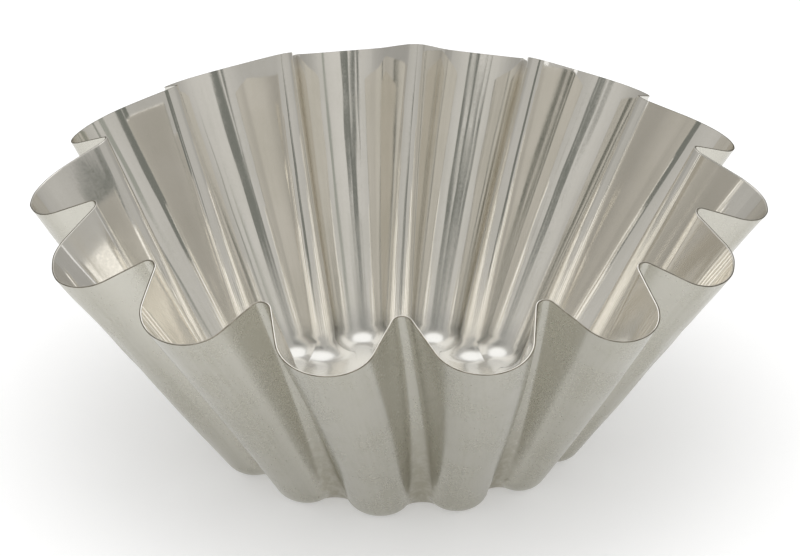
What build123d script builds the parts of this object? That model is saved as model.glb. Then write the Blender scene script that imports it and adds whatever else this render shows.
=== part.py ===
from build123d import *
from math import acos, atan2, cos, degrees, hypot, pi, radians, sin, sqrt, tan
import os

# Brioche mould: one sheet of tinplate pressed into a flat-bottomed, fluted bowl.
# The origin is the centre of the underside of the floor and +Z points up through the mouth.
# Round the bowl, lobes that bulge outwards alternate with narrow folds that reach inwards.
# -Y is the front. Lengths are in millimetres and lie on the outside face. Angles are in degrees.

flutes = 14

# The flutes at the foot, before the bend into the floor is rounded.
lobe_foot_reach = 51.0
foot_flute_depth = 6.4
foot_fold_radius = 4.0

# The flutes at the height of the lobes' cut edge.
lobe_rim_reach = 100.0
lobe_rim_height = 69.5
rim_flute_depth = 21.4
rim_fold_radius = 2.6

# The straight flank's share of the distance between the centres of a lobe and a fold.
foot_flank_share = 0.16
rim_flank_share = 0.58

# The tin was pressed a little askew. From its even place round the bowl, each lobe and fold is
# turned on, then drawn towards +X by a crowding that is largest at the front and the rear.
foot_turn = 3.6
foot_crowding = 3.9
rim_turn = -0.9
rim_crowding = 1.9

# The cut edge stands this much higher at the folds than at the lobes.
fold_rise = 9.5

sheet = 0.5

# The bend from the floor into the wall, and the number of steps that its arc is drawn in.
base_bend_radius = 6.8
bend_steps = 5

# The flutes are drawn this much taller than the cut edge at the folds, then trimmed.
trim_allowance = 3.0

pitch = 360.0 / flutes
fold_rim_height = lobe_rim_height + fold_rise
press_height = fold_rim_height + trim_allowance


def flute_circles(lobe_reach, flute_depth, fold_radius, flank_share, turn, crowding):
    """The circles of a section: angle, centre's distance from the axis and radius.

    They alternate, each lobe followed by the fold after it. A lobe fits between its two folds.
    """
    fold_centre = lobe_reach - flute_depth + fold_radius
    stretch = 1 / (1 - flank_share**2)
    circles = []
    for flute in range(flutes):
        last_fold, lobe, next_fold = [
            even + turn - crowding * sin(radians(even))
            for even in ((flute - 0.5) * pitch, flute * pitch, (flute + 0.5) * pitch)
        ]
        half_width = radians(next_fold - last_fold) / 2
        across = fold_centre * cos(half_width) - lobe_reach
        along = fold_centre * sin(half_width)
        reach_squared = across**2 + along**2 - stretch * fold_radius**2
        half_sum = stretch * fold_radius - across
        lobe_radius = reach_squared / (half_sum + sqrt(half_sum**2 + (stretch - 1) * reach_squared))
        circles.append((lobe, lobe_reach - lobe_radius, lobe_radius))
        circles.append((next_fold, fold_centre, fold_radius))
    return circles


foot_circles = flute_circles(
    lobe_foot_reach, foot_flute_depth, foot_fold_radius, foot_flank_share, foot_turn, foot_crowding
)
rim_circles = flute_circles(
    lobe_rim_reach, rim_flute_depth, rim_fold_radius, rim_flank_share, rim_turn, rim_crowding
)


def circles_at(height):
    """The circles at a height, on straight lines from the foot through the lobes' edge height."""
    share = height / lobe_rim_height
    return [
        [at_foot + (at_rim - at_foot) * share for at_foot, at_rim in zip(foot_circle, rim_circle)]
        for foot_circle, rim_circle in zip(foot_circles, rim_circles)
    ]


def fold_reach_at(height):
    """Distance from the axis to a fold at a height."""
    _, fold_centre, fold_radius = circles_at(height)[1]
    return fold_centre - fold_radius


# A wall leans outwards, so its thickness measured level is more than that of the sheet.
lobe_lean = atan2(lobe_rim_reach - lobe_foot_reach, lobe_rim_height)
fold_lean = atan2(fold_reach_at(lobe_rim_height) - fold_reach_at(0), lobe_rim_height)
wall_lean = (lobe_lean + fold_lean) / 2
level_thickness = sheet / cos(wall_lean)


def polar(reach, angle):
    """Point at a distance from the axis, at an angle from +X."""
    return (reach * cos(radians(angle)), reach * sin(radians(angle)))


def flank_facing(lobe_circle, fold_circle):
    """Angle from the middle of a lobe to the way that its flank towards a fold faces."""
    lobe, lobe_centre, lobe_radius = lobe_circle
    fold, fold_centre, fold_radius = fold_circle
    across = fold_centre * cos(radians(fold - lobe)) - lobe_centre
    along = abs(fold_centre * sin(radians(fold - lobe)))
    return degrees(atan2(along, across) - acos((lobe_radius + fold_radius) / hypot(across, along)))


def flute_outline(height, inset):
    """Closed outline of all the flutes at a height, drawn parallel to itself by an inset."""
    circles = circles_at(height)
    lobe_circles, fold_circles = circles[0::2], circles[1::2]
    starts = []
    ends = []
    for flute, lobe_circle in enumerate(lobe_circles):
        starts.append(lobe_circle[0] - flank_facing(lobe_circle, fold_circles[flute - 1]))
        ends.append(lobe_circle[0] + flank_facing(lobe_circle, fold_circles[flute]))
    lobes = []
    folds = []
    for flute in range(flutes):
        lobe, lobe_centre, lobe_radius = lobe_circles[flute]
        fold, fold_centre, fold_radius = fold_circles[flute]
        lobe_size = ends[flute] - starts[flute]
        fold_size = (starts[(flute + 1) % flutes] - ends[flute]) % 360 - 360
        lobes.append(CenterArc(polar(lobe_centre, lobe), lobe_radius - inset, starts[flute], lobe_size))
        folds.append(CenterArc(polar(fold_centre, fold), fold_radius + inset, ends[flute] + 180, fold_size))
    for flute in range(flutes):
        Line(lobes[flute] @ 1, folds[flute] @ 0)
        Line(folds[flute] @ 1, lobes[(flute + 1) % flutes] @ 0)


def pressed_form(floor_height, bend_radius, inset):
    """Solid form of the bowl from a floor up, with a bend tangent to the floor and to the walls."""
    slant = pi / 2 - wall_lean
    with BuildPart() as form:
        for step in range(bend_steps + 1):
            turn = slant * step / bend_steps
            climb = bend_radius * (1 - cos(turn))
            bend_inset = bend_radius * (tan(slant / 2) - sin(turn)) + climb * tan(wall_lean)
            with BuildSketch(Plane.XY.offset(floor_height + climb)) as bend_top:
                with BuildLine():
                    flute_outline(floor_height + climb, inset + bend_inset)
                make_face()
        loft()
        with BuildSketch(Plane.XY.offset(press_height)) as mouth:
            with BuildLine():
                flute_outline(press_height, inset)
            make_face()
        loft([bend_top.sketch, mouth.sketch], ruled=True)
    return form.part


outside_form = pressed_form(0, base_bend_radius, 0)
bowl_space = pressed_form(sheet, base_bend_radius - sheet, level_thickness)

# The tin: the outside form, hollowed, then trimmed along a cone through both edge heights.
with BuildPart() as fluted_tin:
    add(outside_form)
    add(bowl_space, mode=Mode.SUBTRACT)
    edge_slope = fold_rise / (lobe_rim_reach - fold_reach_at(fold_rim_height))
    cone_height = lobe_rim_height + edge_slope * lobe_rim_reach
    with BuildSketch(Plane.XZ):
        with BuildLine():
            Polyline(
                (0, cone_height),
                (cone_height / edge_slope, 0),
                (cone_height / edge_slope, cone_height),
                close=True,
            )
        make_face()
    revolve(axis=Axis.Z, mode=Mode.SUBTRACT)

fluted_tin.part.label = "fluted_tin"
os.makedirs("parts", exist_ok=True)
export_step(fluted_tin.part, "parts/fluted_tin.step")
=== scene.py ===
from math import atan2, cos, pi, radians, sin

import bmesh
import bpy
import numpy as np
from mathutils import Matrix, Vector


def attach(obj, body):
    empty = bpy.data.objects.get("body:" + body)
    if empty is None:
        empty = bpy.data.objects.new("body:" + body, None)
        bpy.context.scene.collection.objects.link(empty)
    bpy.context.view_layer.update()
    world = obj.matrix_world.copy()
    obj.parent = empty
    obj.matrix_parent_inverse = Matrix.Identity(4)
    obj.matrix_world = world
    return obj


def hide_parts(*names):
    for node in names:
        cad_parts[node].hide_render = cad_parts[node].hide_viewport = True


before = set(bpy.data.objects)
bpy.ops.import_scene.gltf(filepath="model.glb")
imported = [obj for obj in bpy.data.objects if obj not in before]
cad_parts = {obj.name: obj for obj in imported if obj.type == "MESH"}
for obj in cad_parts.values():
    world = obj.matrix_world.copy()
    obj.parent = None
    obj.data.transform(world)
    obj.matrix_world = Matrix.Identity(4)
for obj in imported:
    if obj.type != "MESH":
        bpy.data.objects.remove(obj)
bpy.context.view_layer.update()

# Sizes of the pressed sheet, in metres, as in the CAD solid. Its flanks are given by their angles.
flutes = 14
lobe_foot_reach = 0.051
foot_flute_depth = 0.0064
foot_fold_radius = 0.004
foot_flank_angle = radians(66.3)
lobe_rim_reach = 0.100
lobe_rim_height = 0.0695
rim_flute_depth = 0.0214
rim_fold_radius = 0.0026
rim_flank_angle = radians(76.97)
fold_rise = 0.0095
sheet = 0.0005
base_bend_radius = 0.0068
pitch = radians(360 / flutes)

# The pressing isn't even. Each list runs counter-clockwise from the front fold and gives, in
# millimetres at the rim, how far a fold or the lobe after it lies to the side, or a lobe further out.
fold_drift = [1.8, 2.4, -1.0, -2.8, -2.5, -4.6, -2.9, -4.6, -3.6, -2.5, -1.7, 0.2, 1.4, 2.0]
lobe_drift = [1.9, 0.6, -1.9, -2.6, -3.4, -3.7, -3.8, -4.1, -3.0, -2.1, -0.8, 0.8, 1.8, 1.9]
lobe_swell = [0, 0, -2.3, 0.8, 1.2, 0, 0, 0, 0, 0, 0, 0.8, 0, 0]
# How large the small waves are in each lobe, against 1 in the folds.
lobe_wrinkle = [1, 2, 11, 8, 1, 0.8, 0.8, 0.8, 0.8, 1.5, 12, 12, 4, 1]
# The same at the foot, whose front is twisted to the right besides.
foot_fold_drift = [1.2, 2.0, 1.0, 0, 0, 0, 0, 0, 0, 0, 0, 0, 0, 0]
foot_lobe_drift = [1.6, 1.5, 0.5, 0, 0, 0, 0, 0, 0, 0, 0, 0, 0, 0.6]
front_twist = radians(6.5)

# The small waves of the sheet: height in millimetres, waves round the tin, waves up it, start.
sheet_waves = (
    (0.030, 23, 1.1, 0.4),
    (0.022, 37, -1.7, 2.1),
    (0.016, 61, 2.6, 4.0),
    (0.010, 97, -3.9, 1.2),
)
# The share of the waves that is gone at the cut edge.
wave_loss_share = 0.7

# The cut edge's rounding: shares of the way across the sheet, and of its thickness above the cut.
edge_crown_shares = ((0.12, 0.1), (0.7, 0.1), (0.93, 0.04))
# From this far behind the middle on, the rounding's inner part takes the cut edge's dark brown too, as
# painted shade: there it shows no bright line.
rear_painted_shade_start = 0.03

# How finely the mesh follows the sheet.
lobe_steps = 48
flank_steps = 6
fold_steps = 12
wall_rows = 64
last_row_share = 0.004
bend_rows = 10
floor_rings = 14
# The lean of the wall is evened out over this many columns to each side.
lean_reach = 4
edge_height_rounds = 10


def flute_section(lobe_reach, flute_depth, fold_radius, flank_angle):
    """Centre and radius of a lobe and of a fold, whose arcs are tangent to the flank between them."""
    fold_centre = lobe_reach - flute_depth + fold_radius
    lobe_slack = fold_centre * cos(flank_angle - pitch / 2) - lobe_reach * cos(flank_angle)
    lobe_radius = (lobe_slack - fold_radius) / (1 - cos(flank_angle))
    return lobe_reach - lobe_radius, lobe_radius, fold_centre, fold_radius


def arc(centre, radius, start, stop, steps):
    turn = np.linspace(start, stop, steps + 1)
    return centre + radius * np.stack([np.cos(turn), np.sin(turn)], axis=1)


def towards(angle, reach):
    return reach * np.array([cos(angle), sin(angle)])


def outline(section, flank_angle):
    """Level outline of all the flutes, as points, from one fold round to the next."""
    lobe_centre, lobe_radius, fold_centre, fold_radius = section
    share = np.linspace(0, 1, flank_steps + 1)[1:-1, None]
    half_fold = fold_steps // 2
    points = []
    for flute in range(flutes):
        middle = flute * pitch
        last, after = middle - pitch / 2, middle + pitch / 2
        start, stop = middle - flank_angle, middle + flank_angle
        rise = arc(towards(last, fold_centre), fold_radius, last + pi, start + pi, half_fold)
        lobe = arc(towards(middle, lobe_centre), lobe_radius, start, stop, lobe_steps)
        fall = arc(towards(after, fold_centre), fold_radius, stop + pi, after + pi, half_fold)
        points += [rise, rise[-1] + (lobe[0] - rise[-1]) * share, lobe]
        points += [lobe[-1] + (fall[0] - lobe[-1]) * share, fall[:-1]]
    return np.concatenate(points)


foot_section = flute_section(lobe_foot_reach, foot_flute_depth, foot_fold_radius, foot_flank_angle)
rim_section = flute_section(lobe_rim_reach, rim_flute_depth, rim_fold_radius, rim_flank_angle)


def foot_and_rim(inset):
    """Outlines at the foot and at the rim, drawn parallel to the outside face by an inset."""
    lines = []
    for section, flank_angle in ((foot_section, foot_flank_angle), (rim_section, rim_flank_angle)):
        lobe_centre, lobe_radius, fold_centre, fold_radius = section
        inner = (lobe_centre, lobe_radius - inset, fold_centre, fold_radius + inset)
        lines.append(outline(inner, flank_angle))
    return lines


foot_line, rim_line = foot_and_rim(0)
columns = len(foot_line)
fold_foot_reach = foot_section[2] - foot_section[3]
fold_rim_height = lobe_rim_height + fold_rise
fold_rim_reach = fold_foot_reach + (
    (rim_section[2] - rim_section[3] - fold_foot_reach) * fold_rim_height / lobe_rim_height
)
lobe_lean = atan2(lobe_rim_reach - lobe_foot_reach, lobe_rim_height)
fold_lean = atan2(fold_rim_reach - fold_foot_reach, fold_rim_height)
level_thickness = sheet / cos((lobe_lean + fold_lean) / 2)
# Place of each column in flutes, counter-clockwise from the front fold.
around = ((np.arctan2(rim_line[:, 1], rim_line[:, 0]) + pi / 2) / pitch) % flutes


def cut_heights(foot, per_height):
    """Height of the cut edge at each column, on the cone that trims the rim."""
    edge_slope = fold_rise / (lobe_rim_reach - fold_rim_reach)
    height = np.full(columns, lobe_rim_height)
    for _ in range(edge_height_rounds):
        reach = np.linalg.norm(foot + per_height * height[:, None], axis=1)
        height = lobe_rim_height + edge_slope * (lobe_rim_reach - reach)
    return height


def even_rows(floor_height, bend_radius, inset):
    """Rows of points on an even face of the sheet: floor rings, the bend, then the wall."""
    foot, rim = foot_and_rim(inset)
    per_height = (rim - foot) / lobe_rim_height
    foot = foot + per_height * floor_height
    along = np.roll(foot, -1, axis=0) - np.roll(foot, 1, axis=0)
    along /= np.linalg.norm(along, axis=1)[:, None]
    outward = np.stack([along[:, 1], -along[:, 0]], axis=1)
    lean = np.arctan(np.sum(per_height * outward, axis=1))
    shifts = range(-lean_reach, lean_reach + 1)
    lean = sum(np.roll(lean, shift) for shift in shifts) / len(shifts)
    tangent_length = bend_radius * np.tan((pi / 2 - lean) / 2)
    flat_edge = foot - outward * tangent_length[:, None]
    turn = np.arange(columns) * 2 * pi / columns - pitch / 2
    circle = fold_foot_reach * np.stack([np.cos(turn), np.sin(turn)], axis=1)
    rows = []
    for share in np.linspace(0, 1, floor_rings + 1)[1:-1]:
        ring = (circle + (flat_edge - circle) * share**2) * share
        rows.append(np.column_stack([ring, np.zeros(columns)]))
    for share in np.linspace(0, 1, bend_rows + 1):
        turn = share * (pi / 2 - lean)
        offset = bend_radius * np.sin(turn) - tangent_length
        rows.append(np.column_stack([foot + outward * offset[:, None], bend_radius * (1 - np.cos(turn))]))
    bend_top = rows[-1][:, 2]
    cut = cut_heights(foot - per_height * floor_height, per_height) - floor_height
    for share in [*np.linspace(0, 1, wall_rows + 1)[1:-1], 1 - last_row_share, 1]:
        height = bend_top + (cut - bend_top) * share
        rows.append(np.column_stack([foot + per_height * height[:, None], height]))
    return np.array(rows) + [0, 0, floor_height]


def between(fold_values, lobe_values):
    """A value for every column, eased between those of the folds and of the lobes after them."""
    stations = np.stack([fold_values, lobe_values], axis=1).ravel()
    low = np.floor(around * 2).astype(int)
    share = around * 2 - low
    share = share**2 * (3 - 2 * share)
    return stations[low % len(stations)] * (1 - share) + stations[(low + 1) % len(stations)] * share


def pressed(rows):
    """The rows as the tin was really pressed, with its drift, its twisted front and its small waves."""
    millimetre = 0.001
    height_share = rows[:, :, 2] / (lobe_rim_height + fold_rise / 2)
    reach = np.linalg.norm(rows[:, :, :2], axis=2)
    angle = np.arctan2(rows[:, :, 1], rows[:, :, 0])
    rim_drift = between(fold_drift, lobe_drift) * millimetre / np.linalg.norm(rim_line, axis=1)
    foot_drift = between(foot_fold_drift, foot_lobe_drift) * millimetre / np.linalg.norm(foot_line, axis=1)
    front = (1 + np.cos(angle + pi / 2)) / 2
    angle = angle + rim_drift * height_share + (foot_drift + front_twist * front) * (1 - height_share)
    swell = between([0] * flutes, lobe_swell) * millimetre
    wrinkle = between([1] * flutes, lobe_wrinkle) * millimetre
    climb = rows[:, :, 2] / lobe_rim_height
    wave = np.zeros(reach.shape)
    for size, rounds, rises, start in sheet_waves:
        wave += size * np.sin(rounds * around * pitch + 2 * pi * rises * climb + start)
    climb = np.clip(climb, 0, 1)
    reach = reach + swell * height_share + wave * wrinkle * climb * (1 - wave_loss_share * climb**6)
    return np.stack([reach * np.cos(angle), reach * np.sin(angle), rows[:, :, 2]], axis=2)


def build_tin():
    """The sheet as one closed mesh. Its materials are the outside, the inside and the cut edge."""
    outside = pressed(even_rows(0, base_bend_radius, 0))
    inside = pressed(even_rows(sheet, base_bend_radius - sheet, level_thickness))
    edge_up = outside[-1] - outside[-2]
    edge_up /= np.linalg.norm(edge_up, axis=1)[:, None]
    edge = [
        outside[-1] + (inside[-1] - outside[-1]) * across + edge_up * sheet * crown
        for across, crown in edge_crown_shares
    ]
    layers = np.concatenate([outside, np.array(edge), inside[::-1]])
    layer_count = len(layers)
    vertices = np.vstack([layers.reshape(-1, 3), [[0, 0, 0], [0, 0, sheet]]])
    steps = np.linalg.norm(np.diff(layers, axis=0), axis=2).mean(axis=1)
    climb = np.concatenate([[0], np.cumsum(steps)])
    first = np.arange(columns)
    after = (first + 1) % columns
    faces = []
    uv = []
    finish = []
    left, right = first / columns * flutes, (first + 1) / columns * flutes
    edge_start, edge_end = len(outside) - 1, len(outside) + 2
    for row in range(layer_count - 1):
        low, high = row * columns, (row + 1) * columns
        faces += np.stack([low + first, low + after, high + after, high + first], axis=1).tolist()
        bottom, top = np.full(columns, climb[row]), np.full(columns, climb[row + 1])
        corners = [(left, bottom), (right, bottom), (right, top), (left, top)]
        uv.append(np.stack([np.stack(corner, axis=1) for corner in corners], axis=1).reshape(-1, 2))
        finish += [0 if row < edge_start else 2 if row < edge_end - 1 else 1] * columns
        # Painted shade: behind the middle, the inner part of the edge rounding takes the cut edge's dark
        # brown.
        if edge_end - 1 <= row <= edge_end:
            finish[-columns:] = np.where(rim_line[:, 1] < rear_painted_shade_start, 1, 2).tolist()
    last = (layer_count - 1) * columns
    centres = np.full(columns, len(vertices) - 2)
    faces += np.stack([after, first, centres], axis=1).tolist()
    faces += np.stack([last + first, last + after, centres + 1], axis=1).tolist()
    for middle_climb, ring_climb in ((-steps[0], 0), (climb[-1] + steps[-1], climb[-1])):
        ring, middle = np.full(columns, ring_climb), np.full(columns, middle_climb)
        corners = [(left, ring), (right, ring), (left, middle)]
        uv.append(np.stack([np.stack(corner, axis=1) for corner in corners], axis=1).reshape(-1, 2))
    finish += [0] * columns + [1] * columns
    mesh = bpy.data.meshes.new("pressed_tin")
    mesh.from_pydata(vertices.tolist(), [], faces)
    layer = mesh.uv_layers.new(name="sheet")
    layer.data.foreach_set("uv", np.concatenate(uv).astype(np.float32).ravel())
    mesh.polygons.foreach_set("use_smooth", [True] * len(mesh.polygons))
    mesh.polygons.foreach_set("material_index", finish)
    mesh.update()
    corners = bmesh.new()
    corners.from_mesh(mesh)
    for line in corners.edges:
        line.smooth = len({face.material_index for face in line.link_faces}) == 1
    corners.to_mesh(mesh)
    corners.free()
    tin = bpy.data.objects.new("pressed_tin", mesh)
    bpy.context.scene.collection.objects.link(tin)
    return tin


class Nodes:
    """Short calls that add nodes to one material."""

    def __init__(self, name):
        self.material = bpy.data.materials.new(name)
        self.material.use_nodes = True
        self.tree = self.material.node_tree
        self.shader = self.tree.nodes["Principled BSDF"]

    def add(self, kind, settings=None, **inputs):
        node = self.tree.nodes.new(kind)
        for name, value in (settings or {}).items():
            setattr(node, name, value)
        for name, value in inputs.items():
            self.feed(node.inputs[name.replace("_", " ")], value)
        return node

    def feed(self, socket, value):
        if hasattr(value, "is_output"):
            self.tree.links.new(value, socket)
        else:
            socket.default_value = value

    def math(self, operation, *values):
        node = self.tree.nodes.new("ShaderNodeMath")
        node.operation = operation
        for socket, value in zip(node.inputs, values):
            self.feed(socket, value)
        return node.outputs[0]

    def spread(self, value, low, high, to_low=0.0, to_high=1.0):
        node = self.tree.nodes.new("ShaderNodeMapRange")
        node.interpolation_type = "SMOOTHSTEP"
        for name, number in (
            ("Value", value),
            ("From Min", low),
            ("From Max", high),
            ("To Min", to_low),
            ("To Max", to_high),
        ):
            self.feed(node.inputs[name], number)
        return node.outputs[0]

    def blend(self, share, first, second):
        node = self.tree.nodes.new("ShaderNodeMix")
        node.data_type = "RGBA"
        self.feed(node.inputs["Factor"], share)
        for name, colour in (("A", first), ("B", second)):
            socket = [s for s in node.inputs if s.name == name and s.type == "RGBA"][0]
            self.feed(socket, (*colour, 1) if isinstance(colour, tuple) else colour)
        return [s for s in node.outputs if s.type == "RGBA"][0]

    def noise(self, vector, scale, detail=3.0, roughness=0.5):
        return self.add(
            "ShaderNodeTexNoise", Vector=vector, Scale=scale, Detail=detail, Roughness=roughness
        ).outputs["Fac"]

    def stretched(self, vector, scale):
        return self.add("ShaderNodeMapping", Vector=vector, Scale=scale).outputs["Vector"]


def tin_finish(name, light, dark, smooth, dull, line_depth, grain_depth):
    """Tinplate: clouds of two tones, streaks and draw lines up the wall, and a grain of crystals."""
    n = Nodes(name)
    place = n.add("ShaderNodeTexCoord").outputs["Object"]
    sheet_place = n.add("ShaderNodeUVMap", {"uv_map": "sheet"}).outputs["UV"]
    clouds = n.noise(place, 55.0, 4.0, 0.6)
    streaks = n.noise(n.stretched(sheet_place, (34.0, 26.0, 1.0)), 1.0, 3.0, 0.55)
    grain = n.noise(place, 1500.0, 2.0, 0.6)
    tone = n.math("ADD", n.math("MULTIPLY", clouds, 0.5), n.math("MULTIPLY", streaks, 0.3))
    tone = n.math("ADD", tone, n.math("MULTIPLY", grain, 0.2))
    colour = n.blend(n.spread(tone, 0.38, 0.62), light, dark)
    wear = n.math("ADD", n.math("MULTIPLY", clouds, 0.6), n.math("MULTIPLY", grain, 0.4))
    gloss = n.spread(wear, 0.35, 0.65, smooth, dull)
    lines = n.noise(n.stretched(sheet_place, (420.0, 9.0, 1.0)), 1.0, 2.0, 0.5)
    line_height = n.math("MULTIPLY", lines, line_depth)
    height = n.math("ADD", line_height, n.math("MULTIPLY", grain, grain_depth))
    bump = n.add("ShaderNodeBump", Height=height, Strength=1.0, Distance=1.0)
    n.shader.inputs["Metallic"].default_value = 1.0
    n.feed(n.shader.inputs["Base Color"], colour)
    n.feed(n.shader.inputs["Roughness"], gloss)
    n.feed(n.shader.inputs["Normal"], bump.outputs["Normal"])
    return n, place, sheet_place, colour, gloss


def inside_finish():
    """The floor and the bend round it are darker and duller, and the walls are brighter towards the rim.
    """
    n, place, _, colour, gloss = tin_finish(
        "tinplate_inside", (0.83, 0.808, 0.765), (0.79, 0.77, 0.72), 0.05, 0.11, 0.000002, 0.0000015
    )
    height = n.add("ShaderNodeSeparateXYZ", Vector=place).outputs["Z"]
    floor_and_bend = n.spread(height, 0.003, 0.011, 1.0, 0.0)
    # Darker colour on the floor and the bend round it.
    n.feed(n.shader.inputs["Base Color"], n.blend(floor_and_bend, colour, (0.62, 0.612, 0.585)))
    drawn = n.spread(height, 0.008, 0.042, 0.075, 0.0)
    dulled = n.math("ADD", n.math("MULTIPLY", floor_and_bend, 0.06), drawn)
    n.feed(n.shader.inputs["Roughness"], n.math("ADD", gloss, dulled))
    return n.material


def outside_finish_and_painted_light():
    """The outside is duller, with colours darker than the inside's as painted shade, paler beside its
    folds as painted light, and with darker, browner patches low in the folds.
    """
    # Painted shade: the outside's two tones are darker than the inside's, in place of the shadowed floor
    # that the outside mirrors.
    n, place, sheet_place, colour, gloss = tin_finish(
        "tinplate_outside_painted_light", (0.50, 0.487, 0.435), (0.455, 0.442, 0.382), 0.23, 0.29, 0.000002, 0.0000027
    )
    along = n.add("ShaderNodeSeparateXYZ", Vector=sheet_place).outputs["X"]
    height = n.add("ShaderNodeSeparateXYZ", Vector=place).outputs["Z"]
    from_fold = n.math("PINGPONG", along, 0.5)
    # Darker, browner and rougher patches low in the folds.
    in_fold = n.spread(from_fold, 0.02, 0.2, 1.0, 0.0)
    low = n.spread(height, 0.004, 0.045, 1.0, 0.0)
    blotch = n.spread(n.noise(place, 420.0, 4.0, 0.7), 0.36, 0.62)
    patches = n.math("ADD", n.math("MULTIPLY", blotch, 0.7), 0.3)
    low_fold_dark_patches = n.math("MULTIPLY", n.math("MULTIPLY", in_fold, low), patches)
    # Painted light: the colour turns paler near each fold, less so right at its crest.
    painted_fold_light = n.spread(from_fold, 0.1, 0.3, 0.8, 0.0)
    painted_light_gap_at_crest = n.spread(from_fold, 0.02, 0.1, 0.6, 0.0)
    colour = n.blend(n.math("SUBTRACT", painted_fold_light, painted_light_gap_at_crest), colour, (0.62, 0.605, 0.545))
    colour = n.blend(n.math("MULTIPLY", low_fold_dark_patches, 0.75), colour, (0.40, 0.375, 0.30))
    n.feed(n.shader.inputs["Base Color"], colour)
    n.feed(n.shader.inputs["Roughness"], n.math("ADD", gloss, n.math("MULTIPLY", low_fold_dark_patches, 0.15)))
    return n.material


def edge_finish():
    """The sheared edge shows bare steel that has browned."""
    n = Nodes("tinplate_cut_edge")
    place = n.add("ShaderNodeTexCoord").outputs["Object"]
    patches = n.noise(place, 300.0, 3.0, 0.6)
    n.shader.inputs["Metallic"].default_value = 1.0
    colour = n.blend(n.spread(patches, 0.35, 0.65), (0.30, 0.275, 0.225), (0.20, 0.18, 0.14))
    n.feed(n.shader.inputs["Base Color"], colour)
    n.feed(n.shader.inputs["Roughness"], n.spread(patches, 0.3, 0.7, 0.45, 0.6))
    bump = n.add("ShaderNodeBump", Height=n.noise(place, 2500.0), Strength=0.4, Distance=0.0001)
    n.feed(n.shader.inputs["Normal"], bump.outputs["Normal"])
    return n.material


tin = build_tin()
for finish in (outside_finish_and_painted_light(), inside_finish(), edge_finish()):
    tin.data.materials.append(finish)
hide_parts("fluted_tin")
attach(tin, "root")


def seen_directly(nodes, links):
    """1 for rays from the camera and for those that metal or glass sends on, else 0."""
    path = nodes.new("ShaderNodeLightPath")
    total = path.outputs["Is Camera Ray"]
    for name in ("Is Glossy Ray", "Is Transmission Ray"):
        larger = nodes.new("ShaderNodeMath")
        larger.operation = "MAXIMUM"
        links.new(total, larger.inputs[0])
        links.new(path.outputs[name], larger.inputs[1])
        total = larger.outputs[0]
    return total


def stage_mesh(name, vertices, faces, material):
    mesh = bpy.data.meshes.new(name)
    mesh.from_pydata(vertices, [], faces)
    mesh.materials.append(material)
    mesh.update()
    thing = bpy.data.objects.new(name, mesh)
    bpy.context.scene.collection.objects.link(thing)
    return thing


def floor_finish():
    """Pale floor that lifts what is seen of it directly to white and keeps the shadow."""
    material = bpy.data.materials.new("floor_white")
    material.use_nodes = True
    nodes, links = material.node_tree.nodes, material.node_tree.links
    shader = nodes["Principled BSDF"]
    shader.inputs["Base Color"].default_value = (0.80, 0.80, 0.80, 1)
    shader.inputs["Roughness"].default_value = 0.9
    shader.inputs["Specular IOR Level"].default_value = 0.0
    shader.inputs["Emission Color"].default_value = (1, 1, 1, 1)
    lift = nodes.new("ShaderNodeMath")
    lift.operation = "MULTIPLY"
    lift.inputs[1].default_value = 0.32
    links.new(seen_directly(nodes, links), lift.inputs[0])
    links.new(lift.outputs[0], shader.inputs["Emission Strength"])
    return material


def light_card(name, strengths, colour, radius, azimuths, elevations):
    """A glowing card on a sphere round the object, seen by metal but not by the camera.

    Its strength grows from the first value, level with the floor, to the second one overhead.
    """
    material = bpy.data.materials.new(name)
    material.use_nodes = True
    nodes, links = material.node_tree.nodes, material.node_tree.links
    glow = nodes.new("ShaderNodeEmission")
    glow.inputs["Color"].default_value = (*colour, 1)
    place = nodes.new("ShaderNodeTexCoord")
    parts = nodes.new("ShaderNodeSeparateXYZ")
    squared = nodes.new("ShaderNodeMath")
    squared.operation = "MULTIPLY"
    grown = nodes.new("ShaderNodeMapRange")
    grown.inputs["From Max"].default_value = radius**2
    grown.inputs["To Min"].default_value, grown.inputs["To Max"].default_value = strengths
    links.new(place.outputs["Object"], parts.inputs[0])
    links.new(parts.outputs["Z"], squared.inputs[0])
    links.new(parts.outputs["Z"], squared.inputs[1])
    links.new(squared.outputs[0], grown.inputs["Value"])
    links.new(grown.outputs[0], glow.inputs["Strength"])
    links.new(glow.outputs[0], nodes["Material Output"].inputs["Surface"])
    across, up = 24, 12
    vertices = []
    for j in range(up + 1):
        elevation = radians(elevations[0] + (elevations[1] - elevations[0]) * j / up)
        for i in range(across + 1):
            azimuth = radians(azimuths[0] + (azimuths[1] - azimuths[0]) * i / across)
            vertices.append(
                (
                    radius * cos(elevation) * cos(azimuth),
                    radius * cos(elevation) * sin(azimuth),
                    radius * sin(elevation),
                )
            )
    row = across + 1
    corners = [j * row + i for j in range(up) for i in range(across)]
    faces = [(first, first + 1, first + row + 1, first + row) for first in corners]
    card = stage_mesh(name, vertices, faces, material)
    card.visible_camera = False
    card.visible_diffuse = False
    card.visible_shadow = False


floor_half = 10.0
floor_corners = [
    (across * floor_half, along * floor_half, 0) for across, along in ((-1, -1), (1, -1), (1, 1), (-1, 1))
]
stage_mesh("floor", floor_corners, [(0, 1, 2, 3)], floor_finish())
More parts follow.
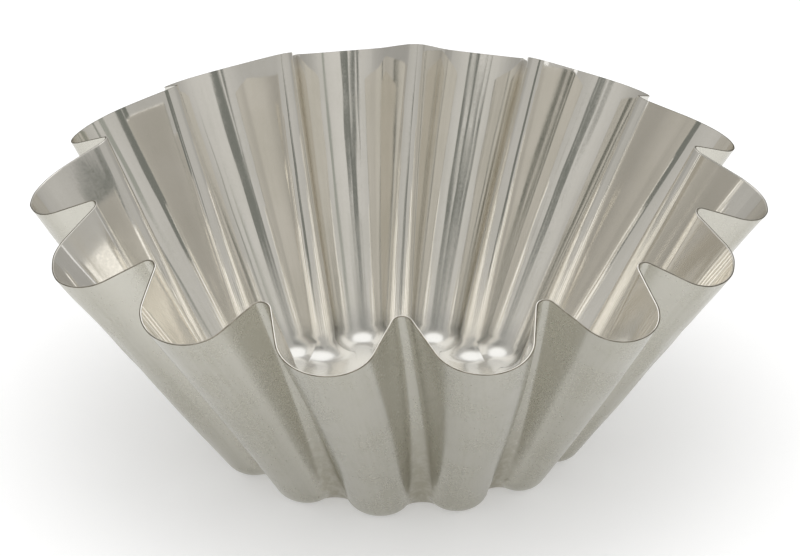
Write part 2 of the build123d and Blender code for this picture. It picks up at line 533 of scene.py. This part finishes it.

# A light tent stands round the tin, brighter overhead. What is dark in it, such as the camera and
# the gaps beside it, shows in the tin as the bands that run down the lobes. The cards' angles are
# degrees round the tin, with -90 at the front, and degrees up from the floor. Those of the dark
# ones were chosen to match the bands of the photographed tin.
tent_white = (1.0, 0.985, 0.945)
tent_top = 62
dark_tint = (1.0, 1.04, 0.95)
dark_card_radius = 9
light_card("tent_front", (0.50, 0.86), tent_white, 9.5, (-176, -4), (0, tent_top))
light_card("tent_rear", (0.40, 0.84), tent_white, 0.5, (-4, 184), (0, tent_top))
light_card("tent_skirt", (0.5, 0.5), tent_white, 0.28, (-30, 210), (0, 8))
for name, strength, azimuths, elevations in (
    ("camera_low", 0.2, (-110, -92), (8, 18)),
    ("camera_side", 0.2, (-97, -77), (16, 26)),
    ("camera_top", 0.2, (-101, -94), (31.5, 34.6)),
    ("strap_low", 0.2, (-112, -101), (34.2, 36.8)),
    ("strap_high", 0.2, (-120, -110), (35.5, 37.6)),
    ("gap_mid", 0.2, (-96, -80), (34.5, 38)),
    ("gap_high", 0.2, (-93, -69), (37, 41.6)),
    ("arm_mid", 0.2, (-111, -95), (40, 43.9)),
    ("arm_end", 0.2, (-102, -81), (43.9, 46.5)),
    ("boom_mid", 0.2, (-127, -111), (41.2, 43.6)),
    ("boom_low", 0.2, (-141, -125), (38.3, 41.3)),
    ("gap_right", 0.28, (-14, 0), (26, 34)),
    ("stand", 0.36, (-43, -29), (32, 37.3)),
    ("case_left", 0.2, (-80, -75), (2, 9)),
    ("case_right", 0.2, (-68, -63), (2, 9)),
):
    light_card(name, (strength, strength), dark_tint, dark_card_radius, azimuths, elevations)

# The second lamp keeps the floor bright round the tin, and the metal doesn't show it.
lamp_height = 1.6
for name, size, energy, in_metal in (("overhead", 2.1, 5.6, True), ("floor_light", 1.0, 3.0, False)):
    lamp_data = bpy.data.lights.new(name, "AREA")
    lamp_data.shape = "DISK"
    lamp_data.size = size
    lamp_data.energy = energy
    lamp = bpy.data.objects.new(name, lamp_data)
    lamp.location = (0, 0, lamp_height)
    lamp.visible_glossy = in_metal
    bpy.context.scene.collection.objects.link(lamp)

# The world is white to the camera and to metal, and lights the floor a little less than that.
world = bpy.data.worlds.new("studio")
bpy.context.scene.world = world
world.use_nodes = True
nodes, links = world.node_tree.nodes, world.node_tree.links
strength = nodes.new("ShaderNodeMapRange")
strength.inputs["To Min"].default_value = 0.8
strength.inputs["To Max"].default_value = 1.0
links.new(seen_directly(nodes, links), strength.inputs["Value"])
links.new(strength.outputs[0], nodes["Background"].inputs["Strength"])
nodes["Background"].inputs["Color"].default_value = (1, 1, 1, 1)

# The camera, fitted to the rim of the photographed tin.
elevation = radians(27.53)
azimuth = radians(0.07)
roll = radians(0.1)
distance = 1.4
side_shift = -0.00072
down_shift = 0.04159
focal_pixels = 5024.6
image_width = 800
back = Vector((sin(azimuth) * cos(elevation), -cos(azimuth) * cos(elevation), sin(elevation)))
right = Vector((cos(azimuth), sin(azimuth), 0))
down = (-back).cross(right)
rolled_right = right * cos(roll) - down * sin(roll)
rolled_down = right * sin(roll) + down * cos(roll)
position = back * distance - rolled_right * side_shift - rolled_down * down_shift
camera_data = bpy.data.cameras.new("camera")
camera_data.sensor_width = 36
camera_data.lens = focal_pixels / image_width * camera_data.sensor_width
camera_data.clip_end = 20
camera = bpy.data.objects.new("camera", camera_data)
camera.matrix_world = Matrix(
    (
        (rolled_right.x, -rolled_down.x, back.x, position.x),
        (rolled_right.y, -rolled_down.y, back.y, position.y),
        (rolled_right.z, -rolled_down.z, back.z, position.z),
        (0, 0, 0, 1),
    )
)
bpy.context.scene.collection.objects.link(camera)
bpy.context.scene.camera = camera
bpy.context.scene.view_settings.view_transform = "Standard"
bpy.context.scene.cycles.max_bounces = 16
bpy.context.scene.cycles.glossy_bounces = 16
